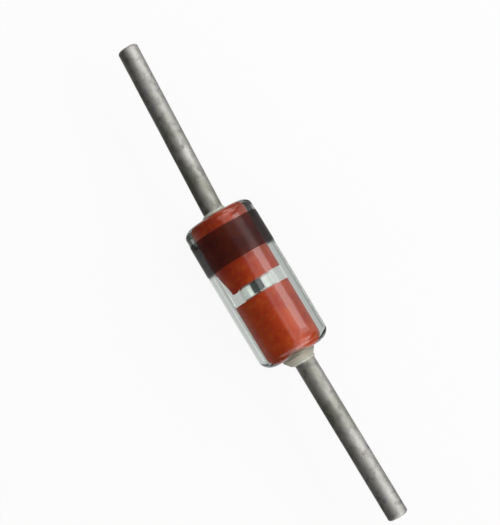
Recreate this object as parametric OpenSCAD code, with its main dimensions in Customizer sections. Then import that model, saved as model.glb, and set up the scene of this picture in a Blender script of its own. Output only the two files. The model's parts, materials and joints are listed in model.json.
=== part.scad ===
// Glass axial-lead zener diode, millimetres.
// The axis runs along X, from the cathode at -X to the anode at +X. The origin is the glass centre.

/* [Glass sleeve] */
// Diameter of the glass
body_d = 1.82; // [1.7:0.01:2.3]
// Length of the glass, end to end
body_len = 3.84; // [3.5:0.01:4.2]
// Radius of the fire-polished outer edge
outer_edge_r = 0.3; // [0.1:0.01:0.31]
// Radius of the fire-polished inner edge, where the glass leaves the slug
inner_edge_r = 0.12; // [0.04:0.01:0.15]
// How far the sealed cavity bulges out halfway between the slugs
cavity_bulge = 0.015; // [0.01:0.005:0.08]

/* [Slugs] */
// Diameter of the two slugs, which is also the bore of the sleeve
slug_d = 0.85; // [0.75:0.01:0.95]
// Length of each slug
slug_len = 1.74; // [1.5:0.02:2]
// Rounding of the slug's edges
slug_edge_r = 0.02; // [0.01:0.005:0.05]
// How far the stack of slugs and chip sits towards the anode
stack_shift = 0.065; // [-0.1:0.005:0.1]

/* [Chip] */
// Side of the square chip
die_w = 0.22; // [0.21:0.01:0.4]
// Thickness of the chip
die_t = 0.28; // [0.15:0.01:0.35]
// Turn of the chip about the axis, in degrees
die_turn = 68; // [0:1:90]
// How far the chip lies off the axis, towards -Y
die_offset = 0; // [0:0.01:0.1]
// Room between the chip's corners and the cavity wall
die_room = 0.01; // [0.005:0.005:0.05]
// Height of the silver bump
bump_h = 0.05; // [0.03:0.01:0.15]
// Diameter of the bump where it touches the chip and the slug
bump_d = 0.16; // [0.1:0.01:0.18]
// How far the bump's side swells past its contact faces
bump_swell = 0.01; // [0.005:0.005:0.015]

/* [Leads] */
// Diameter of the wire
lead_d = 0.52; // [0.4:0.01:0.6]
// Length of each lead beyond the glass
lead_len = 4.5; // [3:0.1:30]
// Lean of the cathode lead towards +Y, in degrees
cathode_lean = 3.1; // [0:0.1:4]
// Lean of the anode lead towards +Y, in degrees
anode_lean = 0.2; // [0:0.1:4]
// How far the cathode lead is welded off the centre of its slug, towards +Y
cathode_offset = 0.01; // [0:0.005:0.05]
// How far the anode lead is welded off the centre of its slug, towards +Y
anode_offset = 0.04; // [0:0.005:0.05]
// Length of the weld collar, from the slug to the bare wire
weld_len = 0.16; // [0.12:0.01:0.2]
// Radius of the rolled bead at the collar's thin end
weld_bead = 0.06; // [0.02:0.005:0.07]
// Least thickness of collar between the slug and the wire's end
weld_film = 0.006; // [0.004:0.001:0.01]
// Chamfer of the cropped end
crop_chamfer = 0.04; // [0.02:0.01:0.08]

/* [Cathode band] */
// Start of the printed band, measured from the cathode end of the glass
band_start = 0.357; // [0.32:0.001:0.8]
// Width of the band along the glass
band_w = 0.855; // [0.4:0.005:1.2]
// Thickness of the ink
band_t = 0.012; // [0.006:0.002:0.02]

/* [Hidden] */
$fn = 128;

body_r = body_d / 2;
slug_r = slug_d / 2;
lead_r = lead_d / 2;

// Stations along the axis
glass_end = body_len / 2;
gap = die_t + bump_h;
cathode_face = stack_shift - gap / 2;
anode_face = stack_shift + gap / 2;
die_top = cathode_face + die_t;
cathode_weld = cathode_face - slug_len;
anode_weld = anode_face + slug_len;
lead_tip = glass_end + lead_len;

// Distance from the axis to the corner of the chip on the given sides
function corner_reach(a, b) =
    norm([die_w / 2 * (a * cos(die_turn) - b * sin(die_turn)) - die_offset,
          die_w / 2 * (a * sin(die_turn) + b * cos(die_turn))]);
die_reach = max([for (a = [-1, 1], b = [-1, 1]) corner_reach(a, b)]);

// The cavity grips the slugs' edges, and widens only for a chip that stands out past them
cavity_face_r = max(slug_r, die_reach + die_room);

// Radius of the arc that rises by an amount over a chord
function arc_r(chord, rise) = (chord * chord / 4 + rise * rise) / (2 * rise);

// Half sections have the radius across and the axis upwards. They are revolved and laid along X.
module revolve_along_x() {
    rotate([0, 90, 0]) rotate_extrude() children();
}

// What a round edge takes off the upper right corner of a section
module edge_trim(r) {
    translate([-r, -r])
        difference() {
            square(2 * r);
            circle(r = r);
        }
}

// Half section of a column from the axis out to r, with swollen sides
module swollen_section(r, h, swell) {
    side_r = arc_r(h, swell);
    square([r, h]);
    intersection() {
        translate([r + swell - side_r, h / 2]) circle(r = side_r);
        square([2 * r, h]);
    }
}

module glass_sleeve() {
    color([0.86, 0.92, 0.89, 0.35])
        revolve_along_x()
            difference() {
                translate([0, -glass_end]) square([body_r, body_len]);
                translate([0, -glass_end]) square([slug_r, body_len]);
                translate([0, cathode_face]) swollen_section(cavity_face_r, gap, cavity_bulge);
                translate([body_r, glass_end]) edge_trim(outer_edge_r);
                translate([body_r, -glass_end]) rotate(-90) edge_trim(outer_edge_r);
                translate([slug_r, glass_end]) rotate(90) edge_trim(inner_edge_r);
                translate([slug_r, -glass_end]) rotate(180) edge_trim(inner_edge_r);
            }
}

module cathode_band() {
    color("#1d1816")
        revolve_along_x()
            translate([body_r, band_start - glass_end]) square([band_t, band_w]);
}

// One slug, from its lower end at the given station
module slug(start) {
    color("#a03c22")
        revolve_along_x()
            translate([0, start])
                difference() {
                    square([slug_r, slug_len]);
                    translate([slug_r, slug_len]) edge_trim(slug_edge_r);
                    translate([slug_r, 0]) rotate(-90) edge_trim(slug_edge_r);
                }
}

module cathode_slug() { slug(cathode_weld); }

module anode_slug() { slug(anode_face); }

// One lead standing on its weld: the upset collar, and the wire leaning towards +Y
module lead(weld, lean, offset) {
    wire_root = weld_film + lead_r * sin(lean);
    wire_len = (lead_tip - weld - wire_root) / cos(lean);
    bead_mid = weld_len - weld_bead;
    color("#b8b6b0") {
        rotate_extrude() {
            polygon([[0, 0], [slug_r - slug_edge_r, 0], [lead_r + weld_bead, bead_mid], [0, bead_mid]]);
            translate([lead_r, bead_mid]) circle(r = weld_bead);
        }
        translate([0, offset, wire_root])
            rotate([-lean, 0, 0])
                rotate_extrude()
                    polygon([[0, 0], [lead_r, 0], [lead_r, wire_len - crop_chamfer],
                             [lead_r - crop_chamfer, wire_len], [0, wire_len]]);
    }
}

module cathode_lead() {
    translate([cathode_weld, 0, 0]) rotate([0, -90, 0]) lead(-cathode_weld, cathode_lean, cathode_offset);
}

module anode_lead() {
    translate([anode_weld, 0, 0]) rotate([0, 90, 0]) lead(anode_weld, anode_lean, anode_offset);
}

// The sawn chip lies flat on the cathode slug's face
module zener_die() {
    color("#2c2d30")
        translate([cathode_face, -die_offset, 0])
            rotate([die_turn, 0, 0])
                translate([0, -die_w / 2, -die_w / 2]) cube([die_t, die_w, die_w]);
}

// The plated contact fills the space between the chip and the anode slug
module silver_bump() {
    color("#d6d7d9")
        translate([die_top, -die_offset, 0])
            revolve_along_x() swollen_section(bump_d / 2, bump_h, bump_swell);
}

glass_sleeve();
cathode_band();
cathode_slug();
anode_slug();
cathode_lead();
anode_lead();
zener_die();
silver_bump();
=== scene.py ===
import json
import math

import bmesh
import bpy
import numpy as np
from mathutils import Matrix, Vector


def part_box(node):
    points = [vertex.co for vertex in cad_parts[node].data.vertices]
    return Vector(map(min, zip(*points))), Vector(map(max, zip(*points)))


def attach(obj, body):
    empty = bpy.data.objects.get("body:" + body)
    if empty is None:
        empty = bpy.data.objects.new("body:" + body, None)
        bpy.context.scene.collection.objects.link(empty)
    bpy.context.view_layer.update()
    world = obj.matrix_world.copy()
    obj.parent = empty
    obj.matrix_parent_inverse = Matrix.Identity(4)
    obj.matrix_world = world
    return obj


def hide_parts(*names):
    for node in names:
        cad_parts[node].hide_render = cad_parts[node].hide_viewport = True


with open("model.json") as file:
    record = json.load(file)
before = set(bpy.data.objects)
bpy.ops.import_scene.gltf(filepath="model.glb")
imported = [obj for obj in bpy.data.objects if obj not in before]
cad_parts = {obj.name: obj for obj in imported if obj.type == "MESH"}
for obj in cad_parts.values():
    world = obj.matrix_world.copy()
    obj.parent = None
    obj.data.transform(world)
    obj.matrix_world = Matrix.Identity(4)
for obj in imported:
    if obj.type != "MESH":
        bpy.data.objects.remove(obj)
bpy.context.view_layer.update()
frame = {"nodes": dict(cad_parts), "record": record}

# Glass axial-lead diode, dressed around its solids. Sizes in the dictionaries are millimetres.
mm = 0.001
sharpEdge = 50.0     # degrees, a turned piece is shaded sharp where its faces meet more steeply
glassBending = 1.69  # refractive index of lead glass
print("frame loaded:", len(frame["nodes"]), "nodes")


def hexToLinear(code):
    channels = [int(code[i:i + 2], 16) / 255 for i in (1, 3, 5)]
    return [c / 12.92 if c <= 0.04045 else ((c + 0.055) / 1.055) ** 2.4 for c in channels] + [1.0]


def addNode(tree, kind, settings=None, links=None):
    node = tree.nodes.new(kind)
    for key, value in (settings or {}).items():
        if isinstance(key, str) and hasattr(node, key):
            setattr(node, key, value)
        else:
            node.inputs[key].default_value = value
    for key, source in (links or {}).items():
        tree.links.new(source, node.inputs[key])
    return node


def newMaterial(name, settings):
    material = bpy.data.materials.new(name)
    material.use_nodes = True
    tree = material.node_tree
    shader = tree.nodes["Principled BSDF"]
    for key, value in settings.items():
        shader.inputs[key].default_value = value
    return material, tree, shader


# Texture scale for features of this many millimetres
def patternScale(size):
    return 1 / (size * mm)


# A node's lowest and highest corners, in millimetres
def boxOf(node):
    low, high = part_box(node)
    return np.array(low) / mm, np.array(high) / mm


def anglesRound(count):
    return np.linspace(0, 2 * math.pi, count, endpoint=False)


# Points on an arc with its own half-axes along X and outwards, between two angles in degrees
def arcPoints(centre, along, out, start, end, count):
    sweep = np.radians(np.linspace(start, end, count))
    return [(centre[0] + along * math.cos(a), centre[1] + out * math.sin(a)) for a in sweep]


# Points (x, r) of a section, repeated at every angle: a table of x and a table of r
def sweptSection(points, angles):
    section = np.array(points)
    x = np.repeat(section[:, :1], len(angles), axis=1)
    r = np.repeat(section[:, 1:], len(angles), axis=1)
    return x, r


# Slow unevenness round a piece, between -1 and 1. A wave is its turns round the piece, weight and phase.
def unevenness(angles, waves):
    total = sum(weight for _, weight, _ in waves)
    return sum(weight * np.sin(turns * angles + phase) for turns, weight, phase in waves) / total


# Rings of a turned piece, one row of points per station along X and one column per angle
def turnedRings(x, r, angles, drift=0.0):
    return np.stack([x, r * np.cos(angles) + drift, r * np.sin(angles)], axis=-1)


# Mesh over such rings: a closed loop of rings makes a sleeve, an open row is capped at both ends
def turnedPiece(name, rings, closed, material, node):
    count, around = rings.shape[:2]
    verts = [tuple(p) for p in (rings.reshape(-1, 3) * mm)]
    faces = []
    for i in range(count if closed else count - 1):
        a = i * around
        b = ((i + 1) % count) * around
        for j in range(around):
            k = (j + 1) % around
            faces.append((a + j, a + k, b + k, b + j))
    if not closed:
        for row in (0, count - 1):
            centre = len(verts)
            verts.append(tuple(rings[row].mean(axis=0) * mm))
            for j in range(around):
                faces.append((row * around + j, row * around + (j + 1) % around, centre))
    mesh = bpy.data.meshes.new(name)
    mesh.from_pydata(verts, [], faces)
    shell = bmesh.new()
    shell.from_mesh(mesh)
    bmesh.ops.recalc_face_normals(shell, faces=shell.faces)
    shell.to_mesh(mesh)
    shell.free()
    mesh.polygons.foreach_set("use_smooth", [True] * len(mesh.polygons))
    mesh.set_sharp_from_angle(angle=math.radians(sharpEdge))
    mesh.materials.append(material)
    piece = bpy.data.objects.new(name, mesh)
    bpy.context.scene.collection.objects.link(piece)
    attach(piece, "root")
    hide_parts(node)
    print("piece:", name, len(mesh.polygons), "faces")


# Sizes that several pieces share, read from the solids
glassEnd, glassRadius = boxOf("glass_sleeve")[1][:2]
cathodeLow, cathodeHigh = boxOf("cathode_slug")
anodeLow, anodeHigh = boxOf("anode_slug")
bandLow, bandHigh = boxOf("cathode_band")
slugRadius = anodeHigh[1]
cathodeFace = cathodeHigh[0]
anodeFace = anodeLow[0]
gapMiddle = (cathodeFace + anodeFace) / 2
floorLevel = bandLow[2]  # the diode lies on its band


# Materials

# Clear lead glass, drawn as a tube and fire-polished at the ends: bright rims, strong bending of
# what lies behind, a faint green-grey cast and slight cords along its length.
def drawnLeadGlass():
    look = {
        "tint": "#f1f7f2",
        "roughness": 0.01,
        "cordWidth": 0.35,
        "cordLength": 2.5,
        "cordHeight": 0.0006,
    }
    material, tree, shader = newMaterial("leadGlassDrawnFirePolished", {
        "Base Color": hexToLinear(look["tint"]), "Roughness": look["roughness"], "IOR": glassBending,
        "Transmission Weight": 1.0})
    place = addNode(tree, "ShaderNodeTexCoord")
    stretch = addNode(tree, "ShaderNodeMapping",
                      {"Scale": (look["cordWidth"] / look["cordLength"], 1, 1)},
                      {"Vector": place.outputs["Object"]})
    cords = addNode(tree, "ShaderNodeTexNoise",
                    {"Scale": patternScale(look["cordWidth"]), "Detail": 1.0},
                    {"Vector": stretch.outputs["Vector"]})
    relief = addNode(tree, "ShaderNodeBump",
                     {"Strength": 1.0, "Distance": look["cordHeight"] * mm},
                     {"Height": cords.outputs["Fac"]})
    tree.links.new(relief.outputs["Normal"], shader.inputs["Normal"])
    return material


# Copper-clad wire, oxidised red before sealing: satin brick red with brown and orange clouds and
# fine drawing lines. At the anode's weld tin has crept over it, pale grey-green; at its edge a pale
# pinkish line is painted highlight and a brown band is painted shade.
def oxidisedCopper():
    look = {
        "brown": "#ac2902",
        "red": "#c54411",
        "orange": "#ca6322",
        "edgeHighlight": "#b58377",         # pale pinkish line at the tin's edge, a painted highlight
        # a brown band between that line and the tin, painted shade
        "scorch": "#855f46",
        "tin": "#a5a395",
        "roughness": 0.36,
        "specular": 0.15,
        "metal": (0.12, 0.25),       # of the oxide and of the tin
        "cloud": 0.5,
        "cloudRange": (0.35, 0.65),  # noise from brown to red
        "speck": 0.11,
        "speckRange": (0.5, 0.75),
        "speckMost": 0.4,            # share of orange in the brightest speck
        "tinStart": 1.66,            # along X from the middle of the glass
        "tinFull": 1.7,
        "tinEdge": 0.15,             # size of the steps in that edge
        "tinWander": 0.012,
        "tinSlant": 0.008,
        "fringeShare": 0.2,          # of the way from the copper to the tin
        "brownShadeShare": 0.5,
        "drawLine": 0.04,            # real drawing lines are finer, these are coarse enough to show
        "lineLength": 1.2,
        "lineHeight": 0.0012,
        "lineStrength": 0.5,
    }
    material, tree, shader = newMaterial("copperOxidisedRed", {
        "Roughness": look["roughness"], "Specular IOR Level": look["specular"]})
    place = addNode(tree, "ShaderNodeTexCoord")
    clouds = addNode(tree, "ShaderNodeTexNoise",
                     {"Scale": patternScale(look["cloud"]), "Detail": 4.0, "Roughness": 0.6},
                     {"Vector": place.outputs["Object"]})
    cloudiness = addNode(tree, "ShaderNodeMapRange",
                         {"From Min": look["cloudRange"][0], "From Max": look["cloudRange"][1]},
                         {"Value": clouds.outputs["Fac"]})
    oxide = addNode(tree, "ShaderNodeMix",
                    {"data_type": "RGBA", 6: hexToLinear(look["brown"]), 7: hexToLinear(look["red"])},
                    {0: cloudiness.outputs["Result"]})
    specks = addNode(tree, "ShaderNodeTexNoise",
                     {"Scale": patternScale(look["speck"]), "Detail": 2.0},
                     {"Vector": place.outputs["Object"]})
    speckled = addNode(tree, "ShaderNodeMapRange",
                       {"From Min": look["speckRange"][0], "From Max": look["speckRange"][1],
                        "To Max": look["speckMost"]},
                       {"Value": specks.outputs["Fac"]})
    reds = addNode(tree, "ShaderNodeMix",
                   {"data_type": "RGBA", 7: hexToLinear(look["orange"])},
                   {0: speckled.outputs["Result"], 6: oxide.outputs[2]})
    # Where the tin begins along the axis: a slanting, uneven edge
    axes = addNode(tree, "ShaderNodeSeparateXYZ", None, {"Vector": place.outputs["Object"]})
    slant = addNode(tree, "ShaderNodeMath",
                    {"operation": "MULTIPLY_ADD", 1: -look["tinSlant"] / slugRadius},
                    {0: axes.outputs["Y"], 2: axes.outputs["X"]})
    ragged = addNode(tree, "ShaderNodeTexNoise",
                     {"Scale": patternScale(look["tinEdge"]), "Detail": 2.0},
                     {"Vector": place.outputs["Object"]})
    shifted = addNode(tree, "ShaderNodeMath",
                      {"operation": "MULTIPLY_ADD", 1: look["tinWander"] * mm},
                      {0: ragged.outputs["Fac"], 2: slant.outputs["Value"]})
    tinned = addNode(tree, "ShaderNodeMapRange",
                     {"From Min": (look["tinStart"] + look["tinWander"] / 2) * mm,
                      "From Max": (look["tinFull"] + look["tinWander"] / 2) * mm},
                     {"Value": shifted.outputs["Value"]})
    # Across that edge a pale line of painted highlight, then a brown band of painted shade, and the tin
    # follows
    margin = addNode(tree, "ShaderNodeValToRGB", None, {"Fac": tinned.outputs["Result"]})
    stops = margin.color_ramp.elements
    stops[0].color = hexToLinear(look["edgeHighlight"])
    stops[1].color = hexToLinear(look["tin"])
    stops.new(look["brownShadeShare"]).color = hexToLinear(look["scorch"])
    covered = addNode(tree, "ShaderNodeMapRange", {"From Max": look["fringeShare"]},
                      {"Value": tinned.outputs["Result"]})
    colour = addNode(tree, "ShaderNodeMix", {"data_type": "RGBA"},
                     {0: covered.outputs["Result"], 6: reds.outputs[2], 7: margin.outputs["Color"]})
    metal = addNode(tree, "ShaderNodeMapRange",
                    {"To Min": look["metal"][0], "To Max": look["metal"][1]},
                    {"Value": tinned.outputs["Result"]})
    stretch = addNode(tree, "ShaderNodeMapping",
                      {"Scale": (look["drawLine"] / look["lineLength"], 1, 1)},
                      {"Vector": place.outputs["Object"]})
    lines = addNode(tree, "ShaderNodeTexNoise",
                    {"Scale": patternScale(look["drawLine"]), "Detail": 2.0},
                    {"Vector": stretch.outputs["Vector"]})
    relief = addNode(tree, "ShaderNodeBump",
                     {"Strength": look["lineStrength"], "Distance": look["lineHeight"] * mm},
                     {"Height": lines.outputs["Fac"]})
    tree.links.new(colour.outputs[2], shader.inputs["Base Color"])
    tree.links.new(metal.outputs["Result"], shader.inputs["Metallic"])
    tree.links.new(relief.outputs["Normal"], shader.inputs["Normal"])
    return material


# Hot-tinned drawn wire, dulled by air and handling: silver grey with long drawing lines, warm and
# cool patches and dark smudges. The weld next to the glass is paler and rougher, with a painted highlight
# along its rim.
def tinnedWire():
    look = {
        "tin": "#cfcdc9",
        "dull": "#a6a79a",
        "smudge": "#665a5f",
        "scorch": "#bbb09e",         # the weld, from the slug outwards: scorched, squeezed out, rim
        "flash": "#c2c1b0",
        # pale colour on the weld's rim, a painted highlight
        "rim": "#eeece2",
        "roughness": (0.53, 0.69),   # from bright to dull patches
        "metal": (1.0, 0.4),         # of the wire and of the weld
        "patch": 0.5,
        "patchStretch": 2.2,         # how much longer than wide a patch is
        "patchRange": (0.42, 0.68),  # noise from tin to dull
        "smudgeSize": 0.2,
        "smudgeRange": (0.5, 0.75),
        "smudgeMost": 0.6,           # share of dirt in the darkest smudge
        "scorchEnd": 1.93,           # along X from the middle of the gap, at either end
        "paleStart": 1.98,
        "flashEnd": 2.035,
        "flashFade": 0.06,
        "flashWave": 0.1,            # size of the waves in the weld's rim
        "flashWander": 0.06,
        "drawLine": 0.03,            # real drawing lines are finer, these are coarse enough to show
        "lineLength": 1.5,
        "lineHeight": 0.0015,
        "lineStrength": 0.6,
        "pitSize": 0.07,
        "pitHeight": 0.01,
    }
    material, tree, shader = newMaterial("steelWireHotTinned", {})
    place = addNode(tree, "ShaderNodeTexCoord")
    along = addNode(tree, "ShaderNodeMapping", {"Scale": (1 / look["patchStretch"], 1, 1)},
                    {"Vector": place.outputs["Object"]})
    patches = addNode(tree, "ShaderNodeTexNoise",
                      {"Scale": patternScale(look["patch"]), "Detail": 5.0, "Roughness": 0.6},
                      {"Vector": along.outputs["Vector"]})
    patchy = addNode(tree, "ShaderNodeMapRange",
                     {"From Min": look["patchRange"][0], "From Max": look["patchRange"][1]},
                     {"Value": patches.outputs["Fac"]})
    plain = addNode(tree, "ShaderNodeMix",
                    {"data_type": "RGBA", 6: hexToLinear(look["tin"]), 7: hexToLinear(look["dull"])},
                    {0: patchy.outputs["Result"]})
    smudges = addNode(tree, "ShaderNodeTexNoise",
                      {"Scale": patternScale(look["smudgeSize"]), "Detail": 3.0, "Roughness": 0.6},
                      {"Vector": place.outputs["Object"]})
    smudged = addNode(tree, "ShaderNodeMapRange",
                      {"From Min": look["smudgeRange"][0], "From Max": look["smudgeRange"][1],
                       "To Max": look["smudgeMost"]},
                      {"Value": smudges.outputs["Fac"]})
    handled = addNode(tree, "ShaderNodeMix",
                      {"data_type": "RGBA", 7: hexToLinear(look["smudge"])},
                      {0: smudged.outputs["Result"], 6: plain.outputs[2]})
    # How far a point lies from the middle of the gap tells the weld from the wire, along a wavy rim
    axes = addNode(tree, "ShaderNodeSeparateXYZ", None, {"Vector": place.outputs["Object"]})
    fromGap = addNode(tree, "ShaderNodeMath", {"operation": "SUBTRACT", 1: gapMiddle * mm},
                      {0: axes.outputs["X"]})
    reach = addNode(tree, "ShaderNodeMath", {"operation": "ABSOLUTE"}, {0: fromGap.outputs["Value"]})
    waves = addNode(tree, "ShaderNodeTexNoise",
                    {"Scale": patternScale(look["flashWave"]), "Detail": 2.0},
                    {"Vector": place.outputs["Object"]})
    wavy = addNode(tree, "ShaderNodeMath",
                   {"operation": "MULTIPLY_ADD", 1: look["flashWander"] * mm},
                   {0: waves.outputs["Fac"], 2: reach.outputs["Value"]})
    flashEnd = look["flashEnd"] + look["flashWander"] / 2
    welded = addNode(tree, "ShaderNodeMapRange",
                     {"From Min": flashEnd * mm, "From Max": (flashEnd + look["flashFade"]) * mm,
                      "To Min": 1.0, "To Max": 0.0},
                     {"Value": wavy.outputs["Value"]})
    paler = addNode(tree, "ShaderNodeMapRange",
                    {"From Min": (look["scorchEnd"] + look["flashWander"] / 2) * mm,
                     "From Max": (look["paleStart"] + look["flashWander"] / 2) * mm},
                    {"Value": wavy.outputs["Value"]})
    flash = addNode(tree, "ShaderNodeMix",
                    {"data_type": "RGBA", 6: hexToLinear(look["scorch"]), 7: hexToLinear(look["flash"])},
                    {0: paler.outputs["Result"]})
    weld = addNode(tree, "ShaderNodeMix", {"data_type": "RGBA"},
                   {0: welded.outputs["Result"], 6: handled.outputs[2], 7: flash.outputs[2]})
    # The weld's rim gets a painted highlight: pale colour where the weld fades into the wire
    halfway = 0.5  # through the weld's fade, where its rim is brightest
    nearRim = addNode(tree, "ShaderNodeMath", {"operation": "PINGPONG", 1: halfway},
                      {0: welded.outputs["Result"]})
    paintedRimHighlight = addNode(tree, "ShaderNodeMapRange", {"From Max": halfway}, {"Value": nearRim.outputs["Value"]})
    colour = addNode(tree, "ShaderNodeMix",
                     {"data_type": "RGBA", 7: hexToLinear(look["rim"])},
                     {0: paintedRimHighlight.outputs["Result"], 6: weld.outputs[2]})
    metal = addNode(tree, "ShaderNodeMapRange",
                    {"To Min": look["metal"][0], "To Max": look["metal"][1]},
                    {"Value": welded.outputs["Result"]})
    gloss = addNode(tree, "ShaderNodeMapRange",
                    {"To Min": look["roughness"][0], "To Max": look["roughness"][1]},
                    {"Value": patches.outputs["Fac"]})
    stretch = addNode(tree, "ShaderNodeMapping",
                      {"Scale": (look["drawLine"] / look["lineLength"], 1, 1)},
                      {"Vector": place.outputs["Object"]})
    lines = addNode(tree, "ShaderNodeTexNoise",
                    {"Scale": patternScale(look["drawLine"]), "Detail": 2.0},
                    {"Vector": stretch.outputs["Vector"]})
    drawn = addNode(tree, "ShaderNodeBump",
                    {"Strength": look["lineStrength"], "Distance": look["lineHeight"] * mm},
                    {"Height": lines.outputs["Fac"]})
    pits = addNode(tree, "ShaderNodeTexNoise",
                   {"Scale": patternScale(look["pitSize"]), "Detail": 3.0},
                   {"Vector": place.outputs["Object"]})
    pitted = addNode(tree, "ShaderNodeMath", {"operation": "MULTIPLY"},
                     {0: pits.outputs["Fac"], 1: welded.outputs["Result"]})
    relief = addNode(tree, "ShaderNodeBump",
                     {"Strength": 1.0, "Distance": look["pitHeight"] * mm},
                     {"Height": pitted.outputs["Value"], "Normal": drawn.outputs["Normal"]})
    tree.links.new(colour.outputs[2], shader.inputs["Base Color"])
    tree.links.new(metal.outputs["Result"], shader.inputs["Metallic"])
    tree.links.new(gloss.outputs["Result"], shader.inputs["Roughness"])
    tree.links.new(relief.outputs["Normal"], shader.inputs["Normal"])
    return material


# Sawn silicon: dark grey with a cold sheen and fine saw lines.
def sawnSilicon():
    look = {
        "dark": "#0f1013",
        "light": "#1d1f23",
        "metal": 0.9,
        "roughness": 0.25,
        "sawLine": 0.04,        # real saw lines are finer, these are coarse enough to show
        "lineHeight": 0.001,
        "lineStrength": 0.4,
    }
    waveLine = 2 * math.pi / 20  # spacing of the wave texture's lines at scale 1
    material, tree, shader = newMaterial("siliconSawn", {
        "Metallic": look["metal"], "Roughness": look["roughness"]})
    place = addNode(tree, "ShaderNodeTexCoord")
    lines = addNode(tree, "ShaderNodeTexWave",
                    {"bands_direction": "X", "Scale": patternScale(look["sawLine"]) * waveLine,
                     "Distortion": 2.0, "Detail": 2.0},
                    {"Vector": place.outputs["Object"]})
    tone = addNode(tree, "ShaderNodeMix",
                   {"data_type": "RGBA", 6: hexToLinear(look["dark"]), 7: hexToLinear(look["light"])},
                   {0: lines.outputs["Fac"]})
    relief = addNode(tree, "ShaderNodeBump",
                     {"Strength": look["lineStrength"], "Distance": look["lineHeight"] * mm},
                     {"Height": lines.outputs["Fac"]})
    tree.links.new(tone.outputs[2], shader.inputs["Base Color"])
    tree.links.new(relief.outputs["Normal"], shader.inputs["Normal"])
    return material


# Plated silver: white metal, matte from the grain of the plating.
def platedSilver():
    look = {
        "bright": "#e9e8e4",
        "shade": "#c4c4c2",
        "roughness": 0.35,
        "grain": 0.03,          # real grain is finer, this is coarse enough to show
        "grainHeight": 0.002,
        "grainStrength": 0.5,
    }
    material, tree, shader = newMaterial("silverPlatedMatte", {
        "Metallic": 1.0, "Roughness": look["roughness"]})
    place = addNode(tree, "ShaderNodeTexCoord")
    grain = addNode(tree, "ShaderNodeTexVoronoi",
                    {"Scale": patternScale(look["grain"])},
                    {"Vector": place.outputs["Object"]})
    tone = addNode(tree, "ShaderNodeMix",
                   {"data_type": "RGBA", 6: hexToLinear(look["bright"]), 7: hexToLinear(look["shade"])},
                   {0: grain.outputs["Distance"]})
    relief = addNode(tree, "ShaderNodeBump",
                     {"Strength": look["grainStrength"], "Distance": look["grainHeight"] * mm},
                     {"Height": grain.outputs["Distance"]})
    tree.links.new(tone.outputs[2], shader.inputs["Base Color"])
    tree.links.new(relief.outputs["Normal"], shader.inputs["Normal"])
    return material


# Black printing ink, stoved on the glass: thin enough that the red slug glows through as maroon.
def stovedInk():
    look = {
        "black": "#1a1011",
        "thin": "#331a1c",
        "roughness": 0.18,
        "bending": 1.5,
        "specular": 0.27,
        "mottle": 0.25,
        "mottleRange": (0.35, 0.65),  # noise from thick to thin ink
        "cover": (0.51, 0.44),        # share of what lies behind that thick and thin ink hide
        "ripple": 0.12,
        "rippleHeight": 0.0008,
        "rippleStrength": 0.5,
    }
    material, tree, shader = newMaterial("inkStovedBlack", {
        "Roughness": look["roughness"], "IOR": look["bending"], "Specular IOR Level": look["specular"]})
    place = addNode(tree, "ShaderNodeTexCoord")
    mottle = addNode(tree, "ShaderNodeTexNoise",
                     {"Scale": patternScale(look["mottle"]), "Detail": 3.0},
                     {"Vector": place.outputs["Object"]})
    tone = addNode(tree, "ShaderNodeMix",
                   {"data_type": "RGBA", 6: hexToLinear(look["black"]), 7: hexToLinear(look["thin"])},
                   {0: mottle.outputs["Fac"]})
    cover = addNode(tree, "ShaderNodeMapRange",
                    {"From Min": look["mottleRange"][0], "From Max": look["mottleRange"][1],
                     "To Min": look["cover"][0], "To Max": look["cover"][1]},
                    {"Value": mottle.outputs["Fac"]})
    ripple = addNode(tree, "ShaderNodeTexNoise",
                     {"Scale": patternScale(look["ripple"]), "Detail": 1.0},
                     {"Vector": place.outputs["Object"]})
    relief = addNode(tree, "ShaderNodeBump",
                     {"Strength": look["rippleStrength"], "Distance": look["rippleHeight"] * mm},
                     {"Height": ripple.outputs["Fac"]})
    tree.links.new(tone.outputs[2], shader.inputs["Base Color"])
    tree.links.new(cover.outputs["Result"], shader.inputs["Alpha"])
    tree.links.new(relief.outputs["Normal"], shader.inputs["Normal"])
    return material


glassFinish = drawnLeadGlass()
slugFinish = oxidisedCopper()
wireFinish = tinnedWire()
chipFinish = sawnSilicon()
bumpFinish = platedSilver()
inkFinish = stovedInk()
print("materials made")


# Glass sleeve

glass = {
    "around": 240,
    "rows": {"barrel": 48, "edge": 20, "lip": 12, "anodeBore": 30, "cavity": 20, "cathodeBore": 80},
    "barrel": 0.008,            # the middle stands this much prouder than the ends
    "edgeAlong": (0.20, 0.28),  # fire-polished outer edges, cathode and anode: reach along the sleeve
    "edgeIn": (0.26, 0.36),     # and towards the bore
    "edgeUneven": 0.016,        # how much rounder an edge is on one side
    "edgeWaves": [(1, 1.0, -math.pi / 2), (2, 0.2, 0.7), (3, 0.1, 2.1)],
    "endSkew": 0.014,           # the anode end is this much longer on its +Y side
    "skewStart": 1.0,           # along X
    "lipRound": 0.12,           # inner edge, where the glass leaves the slug
    "sealBite": 0.003,          # the slug stands this far into the glass, so no air shows between
    "meltLength": 0.03,         # the lip eases into the bore over this length
    "cavityBulge": 0.003,
    "wedgeLength": 0.56,        # unsealed wedge beside the chip, low on the -Y side of the cathode slug
    "wedgeDepth": 0.004,
    "wedgeShare": 0.165,        # share of the slug's half width, as seen, that it hides at the chip
    "wedgeLow": 37.0,           # degrees below the -Y side where it ends
    "wedgeFade": (2.0, 12.0),   # degrees over which it opens at its upper and lower edges
    "wedgePast": 0.001,         # so that the ring at the slug's face counts as bore
}


def glassSurfaceRadius(x):
    return glassRadius - glass["barrel"] * (x / glassEnd) ** 2


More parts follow.
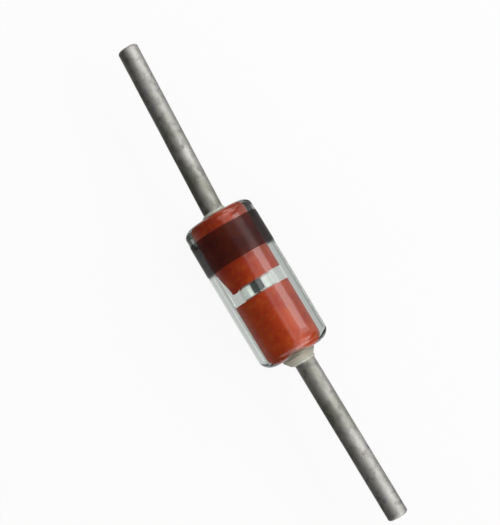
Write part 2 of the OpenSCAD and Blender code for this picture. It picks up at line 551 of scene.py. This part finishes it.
# One side of the sleeve's section, as points (x, r), for the given reach of its two outer edges
def sleeveSection(cathodeEdge, anodeEdge):
    rows = glass["rows"]
    lip = glass["lipRound"]
    cathodeIn, anodeIn = glass["edgeIn"]
    bore = slugRadius - glass["sealBite"]
    boreEnd = glassEnd - lip - glass["meltLength"]
    barrelStart = cathodeEdge - glassEnd
    barrelEnd = glassEnd - anodeEdge
    cathodeCentre = (barrelStart, glassSurfaceRadius(barrelStart) - cathodeIn)
    anodeCentre = (barrelEnd, glassSurfaceRadius(barrelEnd) - anodeIn)
    points = [(x, glassSurfaceRadius(x)) for x in np.linspace(barrelStart, barrelEnd, rows["barrel"])]
    points += arcPoints(anodeCentre, anodeEdge, anodeIn, 90, 0, rows["edge"])[1:]
    points += arcPoints((glassEnd - lip, slugRadius + lip), lip, lip, 0, -90, rows["lip"])
    points += [(x, bore) for x in np.linspace(boreEnd, anodeFace, rows["anodeBore"])]
    for t in np.linspace(0, 1, rows["cavity"])[1:-1]:
        swell = glass["cavityBulge"] * (1 - (2 * t - 1) ** 2) + glass["sealBite"]
        points.append((anodeFace + t * (cathodeFace - anodeFace), bore + swell))
    points += [(x, bore) for x in np.linspace(cathodeFace, -boreEnd, rows["cathodeBore"])]
    points += arcPoints((lip - glassEnd, slugRadius + lip), lip, lip, -90, -180, rows["lip"])
    points += arcPoints(cathodeCentre, cathodeEdge, cathodeIn, 180, 90, rows["edge"])[:-1]
    return np.array(points)


# Angle from the top at which the slug is met by the sight line that enters the glass this far off axis
def seenAngle(offset):
    onSlug = np.arcsin(np.clip(offset / (glassBending * slugRadius), -1, 1))
    return onSlug + np.arcsin(offset / glassRadius) - np.arcsin(offset / (glassBending * glassRadius))


def makeGlass():
    angles = anglesRound(glass["around"])
    cathodeEdge, anodeEdge = glass["edgeAlong"]
    softer = glass["edgeUneven"] * unevenness(angles, glass["edgeWaves"])
    sections = np.stack([sleeveSection(cathodeEdge + s, anodeEdge + s) for s in softer], axis=1)
    x = sections[..., 0]
    r = sections[..., 1]
    # The unsealed wedge: the bore stands off the cathode slug in a narrow triangle beside the chip,
    # whose upper edge looks straight from above, through the glass
    inBore = (r < slugRadius + glass["sealBite"] / 2) & (x < cathodeFace + glass["wedgePast"])
    along = np.clip((x - cathodeFace) / glass["wedgeLength"] + 1, 0, 1)
    seenHalf = glassBending * slugRadius  # the glass magnifies the slug
    upperEdge = np.degrees(seenAngle(seenHalf * (1 - glass["wedgeShare"] * along))) - 90
    below = np.degrees(angles - math.pi)  # from the -Y side
    upperFade, lowerFade = glass["wedgeFade"]
    underUpper = np.clip((below - upperEdge) / upperFade, 0, 1)
    overLower = np.clip((glass["wedgeLow"] - below) / lowerFade, 0, 1)
    standOff = glass["wedgeDepth"] + glass["sealBite"]
    r = r + np.where(inBore & (along > 0), underUpper * overLower * standOff, 0)
    # The anode end was cut slightly askew
    towardsEnd = np.clip((x - glass["skewStart"]) / (glassEnd - glass["skewStart"]), 0, 1)
    x = x + glass["endSkew"] * towardsEnd ** 2 * r * np.cos(angles) / glassRadius
    turnedPiece("glassSleeve", turnedRings(x, r, angles), True, glassFinish, "glass_sleeve")


makeGlass()


# Slugs

slug = {
    "around": 160,
    "rows": 40,
    "faceRings": (0.15, 0.6),  # rings on its ends, as shares of its radius
    "edgeRound": 0.02,
    "edgeRows": 8,
    "edgeRing": 1.3,           # last ring on an end, this many edge rounds in from the side
    "waver": 0.0012,
    "waverTwist": 0.8,         # radians in each millimetre along it
    "waverWaves": [(3, 1.0, 0.4), (5, 0.6, 1.9), (8, 0.4, 3.3)],
    "burr": 0.075,             # tongue that the shears left on the cathode slug's face
    "burrTurn": 154.0,         # degrees from +Y, over the top
    "burrSpread": 16.0,
    "burrBlunt": 4,            # the higher, the blunter its tip
    "burrRim": 8,              # the higher, the closer it keeps to the slug's edge
    "burrRoot": 0.16,          # length over which it grows out of the slug
    "burrStand": 0.006,        # how far it stands out past the slug's side, into the glass
}


def makeSlug(name, node, low, high, sheared):
    edge = slug["edgeRound"]
    start = low[0]
    end = high[0]
    face = [share * slugRadius for share in slug["faceRings"]] + [slugRadius - slug["edgeRing"] * edge]
    points = [(start, r) for r in face]
    points += arcPoints((start + edge, slugRadius - edge), edge, edge, 180, 90, slug["edgeRows"])
    points += [(x, slugRadius) for x in np.linspace(start + edge, end - edge, slug["rows"])[1:-1]]
    points += arcPoints((end - edge, slugRadius - edge), edge, edge, 90, 0, slug["edgeRows"])
    points += [(end, r) for r in reversed(face)]
    angles = anglesRound(slug["around"])
    x, r = sweptSection(points, angles)
    waver = unevenness(angles + slug["waverTwist"] * x, slug["waverWaves"])
    r = r + slug["waver"] * waver * (r / slugRadius)
    if sheared:
        lobe = np.exp(-((np.degrees(angles) - slug["burrTurn"]) / slug["burrSpread"]) ** slug["burrBlunt"])
        nearFace = np.clip(1 - (end - x) / slug["burrRoot"], 0, 1) ** 2
        tongue = lobe * nearFace * (r / slugRadius) ** slug["burrRim"]
        x = x + slug["burr"] * tongue
        r = r + slug["burrStand"] * tongue
    turnedPiece(name, turnedRings(x, r, angles), False, slugFinish, node)


makeSlug("cathodeSlug", "cathode_slug", cathodeLow, cathodeHigh, True)
makeSlug("anodeSlug", "anode_slug", anodeLow, anodeHigh, False)


# Leads

lead = {
    "around": 96,
    "step": 0.05,             # spacing of the rings along the wire
    "collarBase": 0.424,      # radius of the weld collar where it laps onto the slug
    "collarLap": 0.015,       # how far it laps over the slug's rounded edge
    "collarLength": {"cathode_lead": 0.13, "anode_lead": 0.115},  # its cone, before the rolled rim
    "collarRows": 14,
    "collarRings": (0.1, 0.6, 0.97),  # rings on its hidden end, as shares of its base
    "rimRound": {"cathode_lead": 0.045, "anode_lead": 0.06},
    "rimRows": 12,
    "rimStop": 8.0,           # degrees before the wire where the rim's arc stops
    "rimClear": 0.01,         # from the rim to the wire's first ring
    "flash": 0.012,           # how far the squeezed-out rim of the weld wanders along the wire
    "flashReach": 0.05,       # how far from the rim that is felt
    "flashWaves": [(2, 0.6, 0.9), (3, 1.0, 2.2), (5, 0.7, 4.0), (8, 0.5, 1.1)],
    "dent": 0.0025,
    "dentStart": 0.2,         # dents begin over this length of wire
    "dentWaves": [(3.1, 2, 0.0), (1.3, 1, 1.7)],  # radians in a millimetre, turns round the wire, phase
    "cropChamfer": 0.04,
    "cropRings": (0.5, 0.1),  # rings on the cropped end, as shares of the wire's radius
}


def makeLead(name, node, weld, tip):
    mount = next(m for m in frame["record"]["mounts"] if m["name"] == node)
    radius = mount["dims"]["r_mm"]
    slope = mount["axis"][1] / abs(mount["axis"][0])
    middle = np.array(mount["pos_m"]) / mm
    way = math.copysign(1, tip - weld)
    length = abs(tip - weld)
    base = lead["collarBase"]
    lap = lead["collarLap"]
    rim = lead["rimRound"][node]
    rimStart = lead["collarLength"][node]
    rimEnd = rimStart + rim
    wireEnd = length - lead["cropChamfer"]
    wireRows = int((wireEnd - rimEnd) / lead["step"])
    # Section from the slug outwards, as points (distance from the slug, r)
    points = [(-lap, share * base) for share in lead["collarRings"]]
    for s in np.linspace(0, 1, lead["collarRows"])[:-1]:
        points.append((s * (rimStart + lap) - lap, base + s * (radius + rim - base)))
    points += arcPoints((rimStart, radius), rim, rim, 90, lead["rimStop"], lead["rimRows"])
    points += [(t, radius) for t in np.linspace(rimEnd + lead["rimClear"], wireEnd, wireRows)]
    points += [(length, radius - lead["cropChamfer"])]
    points += [(length, share * radius) for share in lead["cropRings"]]
    angles = anglesRound(lead["around"])
    t, r = sweptSection(points, angles)
    # The weld's rim wanders, and the wire has slight dents from handling
    onWire = np.clip((t - rimEnd) / lead["dentStart"], 0, 1)
    nearRim = np.exp(-((t - rimEnd) / lead["flashReach"]) ** 2)
    t = t + lead["flash"] * nearRim * unevenness(angles, lead["flashWaves"])
    dents = 1.0
    for along, turns, phase in lead["dentWaves"]:
        dents = dents * np.sin(along * t + turns * angles + phase)
    r = r - lead["dent"] * onWire * np.clip(dents, 0, 1) * (r / radius)
    # The collar sits on the slug's centre, and the wire runs along the axis of its mount
    settle = np.clip((t - rimStart) / rim, 0, 1)
    drift = (middle[1] + slope * (t - abs(middle[0] - weld))) * settle ** 2 * (3 - 2 * settle)
    turnedPiece(name, turnedRings(weld + way * t, r, angles, drift), False, wireFinish, node)


makeLead("cathodeLead", "cathode_lead", cathodeLow[0], boxOf("cathode_lead")[0][0])
makeLead("anodeLead", "anode_lead", anodeHigh[0], boxOf("anode_lead")[1][0])


# Chip, which keeps its solid

chip = {
    "edge": 0.006,
    "edgeSteps": 2,
}


def dressChip():
    piece = frame["nodes"]["zener_die"]
    piece.data.materials.clear()
    piece.data.materials.append(chipFinish)
    rounding = piece.modifiers.new("sawnEdge", "BEVEL")
    rounding.width = chip["edge"] * mm
    rounding.segments = chip["edgeSteps"]
    print("piece: chip dressed")


dressChip()


# Silver bump

bump = {
    "around": 64,
    "rows": 14,
    "faceRings": (0.2, 0.7),  # rings on its ends, as shares of their radius
    "swell": 0.010,           # how far its side swells past its ends
    "lumps": 0.006,           # how deep the plating dips between lumps
    "lumpWaves": [(3, 1.0, 0.3), (5, 0.8, 2.0), (9, 0.5, 4.4)],
}


def makeBump():
    low, high = boxOf("silver_bump")
    start = low[0]
    end = high[0]
    middle = (low[1] + high[1]) / 2
    contact = (high[1] - low[1]) / 2 - bump["swell"]
    face = [share * contact for share in bump["faceRings"]]
    points = [(start, r) for r in face]
    for t in np.linspace(0, 1, bump["rows"]):
        points.append((start + t * (end - start), contact + bump["swell"] * (1 - (2 * t - 1) ** 2)))
    points += [(end, r) for r in reversed(face)]
    angles = anglesRound(bump["around"])
    x, r = sweptSection(points, angles)
    r = r - bump["lumps"] * (1 + unevenness(angles, bump["lumpWaves"])) / 2
    turnedPiece("silverBump", turnedRings(x, r, angles, middle), False, bumpFinish, "silver_bump")


makeBump()


# Cathode band

band = {
    "around": 240,
    "rows": 40,
    "standOff": 0.0008,   # between the ink and the glass, so that they share no face
    "edgeTaper": 0.04,    # the ink thins out over this length
    "edgeWander": 0.010,
    "startWaves": [(2, 1.0, 0.5), (5, 0.6, 2.6), (11, 0.4, 1.3)],
    "endWaves": [(2, 1.0, 2.5), (3, 0.7, 0.2), (7, 0.5, 3.3)],
}


def makeBand():
    angles = anglesRound(band["around"])
    start = bandLow[0] + band["edgeWander"] * unevenness(angles, band["startWaves"])
    end = bandHigh[0] + band["edgeWander"] * unevenness(angles, band["endWaves"])
    x = start + np.linspace(0, 1, band["rows"])[:, None] * (end - start)
    fromEdge = np.minimum(x - start, end - x)
    thickness = bandHigh[1] - glassRadius - band["standOff"]
    inner = glassSurfaceRadius(x) + band["standOff"]
    outer = inner + thickness * np.sqrt(1 - (1 - np.clip(fromEdge / band["edgeTaper"], 0, 1)) ** 2)
    rings = turnedRings(np.concatenate([x, x[::-1]]), np.concatenate([outer, inner[::-1]]), angles)
    turnedPiece("cathodeBand", rings, True, inkFinish, "cathode_band")


makeBand()


# Camera

view = {
    "frame": (500, 525),           # picture size in pixels
    "pixelsPerMm": 42.1,           # at the object
    "bodyCentre": (256.4, 284.4),  # where the middle of the glass lies in the picture
    "turn": 59.0,                  # degrees, how the diode lies in the picture
    "height": 87.0,                # degrees above the floor
    "distance": 40.0,
    "sensor": 36.0,                # spans the picture's longer side
    "clip": (1.0, 2000.0),
}


def makeCamera():
    turn = math.radians(view["turn"])
    height = math.radians(view["height"])
    level = math.cos(height)
    back = Vector((math.sin(turn) * level, -math.cos(turn) * level, math.sin(height)))
    facing = (-back).to_track_quat("-Z", "Y")
    right = facing @ Vector((1, 0, 0))
    up = facing @ Vector((0, 1, 0))
    wide, tall = view["frame"]
    across = (wide / 2 - view["bodyCentre"][0]) / view["pixelsPerMm"]
    down = (tall / 2 - view["bodyCentre"][1]) / view["pixelsPerMm"]
    target = right * across - up * down
    data = bpy.data.cameras.new("camera")
    data.sensor_width = view["sensor"]
    data.lens = view["sensor"] * view["distance"] * view["pixelsPerMm"] / tall
    data.clip_start = view["clip"][0] * mm
    data.clip_end = view["clip"][1] * mm
    camera = bpy.data.objects.new("camera", data)
    camera.location = (target + back * view["distance"]) * mm
    camera.rotation_euler = facing.to_euler()
    bpy.context.scene.collection.objects.link(camera)
    bpy.context.scene.camera = camera
    print("camera:", tuple(round(v, 5) for v in camera.location), "lens", round(data.lens, 2))


makeCamera()


# Floor, world and lamp

studio = {
    "floorSize": 600.0,
    "floorColour": "#fbfbfa",
    "floorRoughness": 0.9,
    "floorLift": 0.9,        # share of plain white in what the eye sees of the floor
    "ambient": 0.6,          # world light on matt surfaces
    "lampTilt": 54.0,        # degrees from straight above, towards +Y
    "lampDistance": 45.0,
    "lampSize": (90.0, 18.0),
    "lampBrightness": 2.25,  # radiance, where 1 is white
}


# True for rays that show the background to the eye: straight, in metal, or through glass
def viewingRay(tree):
    path = addNode(tree, "ShaderNodeLightPath")
    seen = addNode(tree, "ShaderNodeMath", {"operation": "MAXIMUM"},
                   {0: path.outputs["Is Camera Ray"], 1: path.outputs["Is Glossy Ray"]})
    return addNode(tree, "ShaderNodeMath", {"operation": "MAXIMUM"},
                   {0: seen.outputs["Value"], 1: path.outputs["Is Transmission Ray"]})


def stageMesh(name, verts, faces, material):
    mesh = bpy.data.meshes.new(name)
    mesh.from_pydata([tuple(c * mm for c in v) for v in verts], [], faces)
    mesh.materials.append(material)
    thing = bpy.data.objects.new(name, mesh)
    bpy.context.scene.collection.objects.link(thing)
    return thing


def makeFloor():
    material, tree, shader = newMaterial("floorPaper", {
        "Base Color": hexToLinear(studio["floorColour"]), "Roughness": studio["floorRoughness"],
        "Specular IOR Level": 0.0})
    white = addNode(tree, "ShaderNodeEmission", {"Strength": 1.0})
    share = addNode(tree, "ShaderNodeMath", {"operation": "MULTIPLY", 1: studio["floorLift"]},
                    {0: viewingRay(tree).outputs["Value"]})
    mix = addNode(tree, "ShaderNodeMixShader", None,
                  {0: share.outputs["Value"], 1: shader.outputs["BSDF"], 2: white.outputs["Emission"]})
    tree.links.new(mix.outputs["Shader"], tree.nodes["Material Output"].inputs["Surface"])
    half = studio["floorSize"] / 2
    corners = ((-half, -half), (half, -half), (half, half), (-half, half))
    stageMesh("floor", [(x, y, floorLevel) for x, y in corners], [(0, 1, 2, 3)], material)


def makeWorld():
    world = bpy.data.worlds.new("studio")
    bpy.context.scene.world = world
    world.use_nodes = True
    tree = world.node_tree
    strength = addNode(tree, "ShaderNodeMapRange", {"To Min": studio["ambient"], "To Max": 1.0},
                       {"Value": viewingRay(tree).outputs["Value"]})
    background = tree.nodes["Background"]
    background.inputs["Color"].default_value = (1, 1, 1, 1)
    tree.links.new(strength.outputs["Result"], background.inputs["Strength"])
    world.cycles.sampling_method = "NONE"  # the world isn't sampled as a lamp


def makeLamp():
    tilt = math.radians(studio["lampTilt"])
    data = bpy.data.lights.new("softbox", "AREA")
    data.shape = "RECTANGLE"
    data.size = studio["lampSize"][0] * mm
    data.size_y = studio["lampSize"][1] * mm
    data.energy = studio["lampBrightness"] * math.pi * data.size * data.size_y
    lamp = bpy.data.objects.new("softbox", data)
    lamp.location = Vector((0, math.sin(tilt), math.cos(tilt))) * studio["lampDistance"] * mm
    lamp.rotation_euler = (-tilt, 0, 0)
    lamp.visible_camera = False
    bpy.context.scene.collection.objects.link(lamp)


makeFloor()
makeWorld()
makeLamp()
print("floor, world and lamp made")


# Cards round the diode. An arch spans two angles in degrees from straight above, towards +Y, and each
# card's last number is its brightness, where 1 is white.

cards = {
    "bend": 5.0,                # degrees between the corners of an arch
    "tentRadius": 70.0,         # the outermost arch, in gloss and through glass
    "tentLength": 160.0,
    "tentCards": [(-90, -78, 0.15), (-78, 6, 0.04), (6, 11, 0.4), (11, 18, 0.8), (18, 30, 0.6),
                  (30, 37, 0.8), (37, 44, 1.2), (44, 64, 0.65), (64, 71, 1.2), (71, 90, 0.7)],
    "tentEnds": (0.08, 1.15),   # brightness of the cards that close it, at the cathode and the anode
    "endPanels": [(-1, 20.0, 60.0, 2.2), (1, 0.0, 50.0, 2.6)],  # before those: which end, reach along Y
    "panelGap": 1.0,
    "wireArches": [(-90, -30, 0.03), (-30, 0, 0.14), (0, 22, 0.8), (22, 42, 1.55), (42, 90, 0.12)],
    "archStart": 10.0,          # these stand past the glass, for the gloss of the wires
    "archGap": 2.0,             # inside the tent
    "lampFlags": [(-9.0, -5.4, 0.35), (2.15, 2.35, 1.6), (2.35, 2.55, 1.1), (2.55, 12.0, 0.6)],
    "flagArch": (38, 70),       # these hide the lamp from the gloss of the glass ends: reach along X
    "flagGap": 1.0,             # inside the lamp
    "sideCard": (74, 90, -78.0, -45.0, 2.2),  # low at the side, for gloss: an arch, reach along X
    "sideGap": 3.0,             # inside the tent
    "slugCards": [(-78, 2, 0.5), (2, 20, 2.2), (20, 30, 1.2), (30, 37, 1.6), (37, 43, 2.4),
                  (43, 65, 4.5), (65, 71, 2.4), (71, 90, 1.0)],
    "slugCardRadius": 40.0,     # these are seen only through the glass, and light the slugs
    "slugCardLength": 80.0,
    "floorStep": 0.001,         # each layer of cards on the floor lies this much higher
    # The floor as gloss and glass see it, greyer than it looks, with painted shadow in the dark strip
    # right under the body
    "floorCards": [(-70.0, -8.0, 0.35), (-8.0, -0.6, 0.57), (-0.6, -0.36, 0.76), (-0.36, 0.0, 0.32),
                   (0.0, 0.13, 0.53), (0.13, 0.6, 0.76), (0.6, 8.0, 0.55), (8.0, 70.0, 0.5)],  # along Y
    "wireCards": [(-70.0, -1.2, 0.04), (1.2, 5.0, 0.15)],  # beside the wires, for gloss: along Y
    "rimCards": [(-1.56, -0.7, -4.5, -1.2, 0.3), (-0.7, 2.4, -4.5, -1.2, 0.55),
                 (-2.1, 1.9, 0.9, 2.3, 0.08)],  # beside the glass, for gloss: reach along X, along Y
    "bandShades": [(-2.05, -1.46, 0.02), (-1.46, -0.7, 0.3)],  # under the band: reach along X
    "shadeWidth": 0.7,
}


# A card gives off its own brightness. It shows in gloss, through glass or in both, and nowhere else.
def makeCard(name, verts, faces, brightness, shownIn="both"):
    material = bpy.data.materials.new(name + "Paper")
    material.use_nodes = True
    tree = material.node_tree
    tree.nodes.remove(tree.nodes["Principled BSDF"])
    glow = addNode(tree, "ShaderNodeEmission", {"Strength": brightness})
    tree.links.new(glow.outputs["Emission"], tree.nodes["Material Output"].inputs["Surface"])
    material.cycles.emission_sampling = "NONE"  # and isn't sampled as a lamp
    card = stageMesh(name, verts, faces, material)
    card.visible_camera = False
    card.visible_diffuse = False
    card.visible_shadow = False
    card.visible_glossy = shownIn != "glass"
    card.visible_transmission = shownIn != "gloss"


# A card that runs along X, over the given corners (y, z) across it
def makeLongCard(name, corners, startX, endX, brightness, shownIn="both"):
    verts = []
    for y, z in corners:
        verts += [(startX, y, z), (endX, y, z)]
    faces = [(i, i + 1, i + 3, i + 2) for i in range(0, len(verts) - 2, 2)]
    makeCard(name, verts, faces, brightness, shownIn)


def archCorners(radius, start, end):
    bends = np.radians(np.linspace(start, end, 2 + int((end - start) / cards["bend"])))
    return [(radius * math.sin(a), radius * math.cos(a)) for a in bends]


def floorCorners(layer, startY, endY):
    level = floorLevel + layer * cards["floorStep"]
    return [(startY, level), (endY, level)]


def makeTent():
    radius = cards["tentRadius"]
    reach = cards["tentLength"] / 2
    for i, (start, end, brightness) in enumerate(cards["tentCards"]):
        makeLongCard("tentCard%d" % i, archCorners(radius, start, end), -reach, reach, brightness)
    for i, x in enumerate((-reach, reach)):
        verts = [(x, y, z) for y, z in archCorners(radius, -90, 90)]
        makeCard("tentEnd%d" % i, verts, [tuple(range(len(verts)))], cards["tentEnds"][i])
    for i, (side, startY, endY, brightness) in enumerate(cards["endPanels"]):
        x = side * (reach - cards["panelGap"])
        top = math.sqrt(radius ** 2 - endY ** 2)
        verts = [(x, startY, floorLevel), (x, endY, floorLevel), (x, endY, top), (x, startY, top)]
        makeCard("endPanel%d" % i, verts, [(0, 1, 2, 3)], brightness)


def makeInnerCards():
    radius = cards["tentRadius"]
    reach = cards["tentLength"] / 2
    clear = cards["archStart"]
    for i, (start, end, brightness) in enumerate(cards["wireArches"]):
        corners = archCorners(radius - cards["archGap"], start, end)
        makeLongCard("wireArch%d.0" % i, corners, -reach, -clear, brightness, "gloss")
        makeLongCard("wireArch%d.1" % i, corners, clear, reach, brightness, "gloss")
    for i, (startX, endX, brightness) in enumerate(cards["lampFlags"]):
        corners = archCorners(studio["lampDistance"] - cards["flagGap"], *cards["flagArch"])
        makeLongCard("lampFlag%d" % i, corners, startX, endX, brightness, "gloss")
    start, end, startX, endX, brightness = cards["sideCard"]
    corners = archCorners(radius - cards["sideGap"], start, end)
    makeLongCard("sideCard", corners, startX, endX, brightness, "gloss")
    half = cards["slugCardLength"] / 2
    for i, (start, end, brightness) in enumerate(cards["slugCards"]):
        corners = archCorners(cards["slugCardRadius"], start, end)
        makeLongCard("slugCard%d" % i, corners, -half, half, brightness, "glass")


def makeFloorCards():
    reach = cards["tentLength"] / 2
    for i, (startY, endY, brightness) in enumerate(cards["floorCards"]):
        makeLongCard("floorCard%d" % i, floorCorners(1, startY, endY), -reach, reach, brightness)
    for i, (startY, endY, brightness) in enumerate(cards["wireCards"]):
        makeLongCard("wireCard%d" % i, floorCorners(2, startY, endY), -reach, reach, brightness, "gloss")
    for i, (startX, endX, startY, endY, brightness) in enumerate(cards["rimCards"]):
        makeLongCard("rimCard%d" % i, floorCorners(3, startY, endY), startX, endX, brightness, "gloss")
    half = cards["shadeWidth"] / 2
    for i, (startX, endX, brightness) in enumerate(cards["bandShades"]):
        makeLongCard("bandShade%d" % i, floorCorners(3, -half, half), startX, endX, brightness)


makeTent()
makeInnerCards()
makeFloorCards()
bpy.context.scene.view_settings.view_transform = "Standard"
print("cards made")
